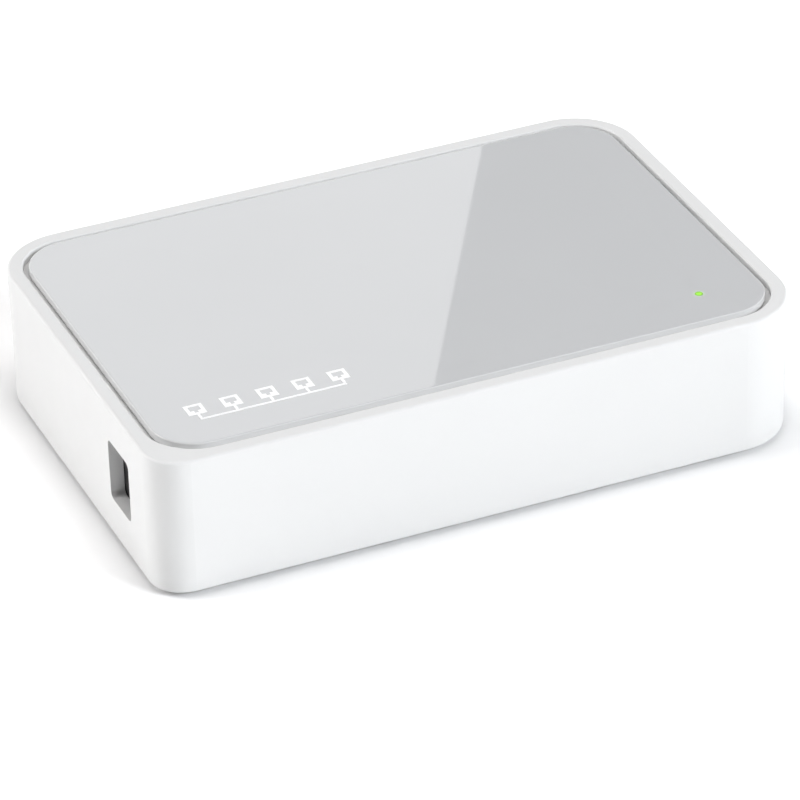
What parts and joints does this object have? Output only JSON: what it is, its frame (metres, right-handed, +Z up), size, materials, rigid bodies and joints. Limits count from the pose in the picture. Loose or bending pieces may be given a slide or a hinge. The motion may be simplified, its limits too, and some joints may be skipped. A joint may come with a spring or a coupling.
{
  "type": "desktop network switch",
  "caption": "Small desktop network switch: snap-together white case with a glossy grey top panel, a row of modular sockets at the back and a barrel power inlet at the side.",
  "frame": {"origin": "centre of the case's outline, on the plane that the feet stand on", "axes": "+Z up; +X to the right and along the long side as seen from the blank front; the front faces -Y, the sockets face +Y and the power inlet faces -X"},
  "size_m": [0.1034, 0.07, 0.023],
  "materials": {
    "white_housing": "fine satin moulded white ABS",
    "panel_gloss": "polished light grey, printed from below",
    "adhesive_film": "double-sided adhesive film",
    "clear_guide": "clear acrylic lit green from below",
    "label_film": "plain silver-grey sticker",
    "board_green": "green solder mask over glass-epoxy",
    "zinc_steel": "zinc-plated steel",
    "black_moulding": "satin black glass-filled nylon",
    "carrier_plastic": "black insert moulding",
    "gold_contact": "gold-flashed phosphor bronze",
    "nickel_contact": "nickel-plated brass",
    "green_lens": "translucent green lens",
    "chip_epoxy": "black moulded epoxy",
    "tinned_lead": "tinned lead frame",
    "can_metal": "drawn nickel-silver can",
    "ferrite": "sintered ferrite",
    "copper_wire": "enamelled copper wire",
    "capacitor_sleeve": "dark blue shrink sleeve on an aluminium can",
    "fuse_green": "coated resettable fuse",
    "resistor_black": "glazed chip resistor",
    "ceramic_tan": "ceramic chip capacitor",
    "foot_rubber": "soft light-grey rubber"
  },
  "bodies": {
    "housing": {"base_cover": "white_housing", "board_screws": "zinc_steel", "capacitor_leads": "tinned_lead", "chip_capacitors": "ceramic_tan", "chip_resistors": "resistor_black", "choke_core": "ferrite", "choke_winding": "copper_wire", "circuit_board": "board_green", "coil_pack_1": "chip_epoxy", "coil_pack_2": "chip_epoxy", "coil_pack_3": "chip_epoxy", "coil_pack_4": "chip_epoxy", "coil_pack_5": "chip_epoxy", "coil_pack_leads": "tinned_lead", "contact_carrier_1": "carrier_plastic", "contact_carrier_2": "carrier_plastic", "contact_carrier_3": "carrier_plastic", "contact_carrier_4": "carrier_plastic", "contact_carrier_5": "carrier_plastic", "core_capacitor": "capacitor_sleeve", "crystal_can": "can_metal", "foot_back_left": "foot_rubber", "foot_back_right": "foot_rubber", "foot_front_left": "foot_rubber", "foot_front_right": "foot_rubber", "inlet_body": "black_moulding", "inlet_lug": "nickel_contact", "inlet_pin": "nickel_contact", "input_capacitor": "capacitor_sleeve", "input_diode": "chip_epoxy", "input_fuse": "fuse_green", "light_guide": "clear_guide", "output_capacitor": "capacitor_sleeve", "panel_adhesive": "adhesive_film", "port_housing": "black_moulding", "port_lamps": "green_lens", "port_terminals": "gold_contact", "power_lamp": "green_lens", "rating_label": "label_film", "regulator_chip": "chip_epoxy", "regulator_leads": "tinned_lead", "switch_chip": "chip_epoxy", "switch_chip_leads": "tinned_lead", "top_cover": "white_housing", "top_panel": "panel_gloss"},
    "contacts_1": {"port_contacts_1": "gold_contact"},
    "contacts_2": {"port_contacts_2": "gold_contact"},
    "contacts_3": {"port_contacts_3": "gold_contact"},
    "contacts_4": {"port_contacts_4": "gold_contact"},
    "contacts_5": {"port_contacts_5": "gold_contact"},
    "inlet_leaf": {"inlet_spring": "nickel_contact"}
  },
  "joints": [
    {"name": "contacts_1_flex", "type": "hinge", "parent": "housing", "child": "contacts_1", "pos_m": [0.02794, 0.03025, 0.01635], "axis": [-1, 0, 0], "range_deg": [0, 9], "stiffness_Nm_per_rad": 0.12},
    {"name": "contacts_2_flex", "type": "hinge", "parent": "housing", "child": "contacts_2", "pos_m": [0.01397, 0.03025, 0.01635], "axis": [-1, 0, 0], "range_deg": [0, 9], "stiffness_Nm_per_rad": 0.12},
    {"name": "contacts_3_flex", "type": "hinge", "parent": "housing", "child": "contacts_3", "pos_m": [0, 0.03025, 0.01635], "axis": [-1, 0, 0], "range_deg": [0, 9], "stiffness_Nm_per_rad": 0.12},
    {"name": "contacts_4_flex", "type": "hinge", "parent": "housing", "child": "contacts_4", "pos_m": [-0.01397, 0.03025, 0.01635], "axis": [-1, 0, 0], "range_deg": [0, 9], "stiffness_Nm_per_rad": 0.12},
    {"name": "contacts_5_flex", "type": "hinge", "parent": "housing", "child": "contacts_5", "pos_m": [-0.02794, 0.03025, 0.01635], "axis": [-1, 0, 0], "range_deg": [0, 9], "stiffness_Nm_per_rad": 0.12},
    {"name": "inlet_leaf_flex", "type": "hinge", "parent": "housing", "child": "inlet_leaf", "pos_m": [-0.039, -0.0194, 0.0085], "axis": [0, -1, 0], "range_deg": [0, 5], "stiffness_Nm_per_rad": 0.06}
  ]
}
